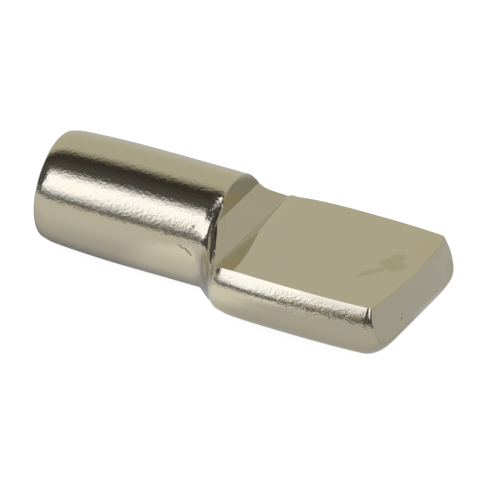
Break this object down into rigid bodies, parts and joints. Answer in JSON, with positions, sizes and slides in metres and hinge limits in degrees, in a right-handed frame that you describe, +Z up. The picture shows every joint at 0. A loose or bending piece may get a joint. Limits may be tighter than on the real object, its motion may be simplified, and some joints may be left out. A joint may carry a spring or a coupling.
{
  "type": "shelf support pin",
  "caption": "Shelf support pin: a round pin that plugs into a cabinet side, forged out at its other end into a wide flat spade with a sloped shoulder.",
  "frame": {"origin": "on the pin's axis, where the straight pin ends and the neck starts to widen", "axes": "+X from the pin to the spade, -X into the cabinet side, +Z up through the flat that carries the shelf, +Y across"},
  "size_m": [0.0166, 0.0084, 0.005],
  "materials": {
    "nickel_plated_steel": "bright nickel plate over forged steel, with a light orange peel"
  },
  "bodies": {
    "root": {"support_pin": "nickel_plated_steel"}
  },
  "joints": []
}
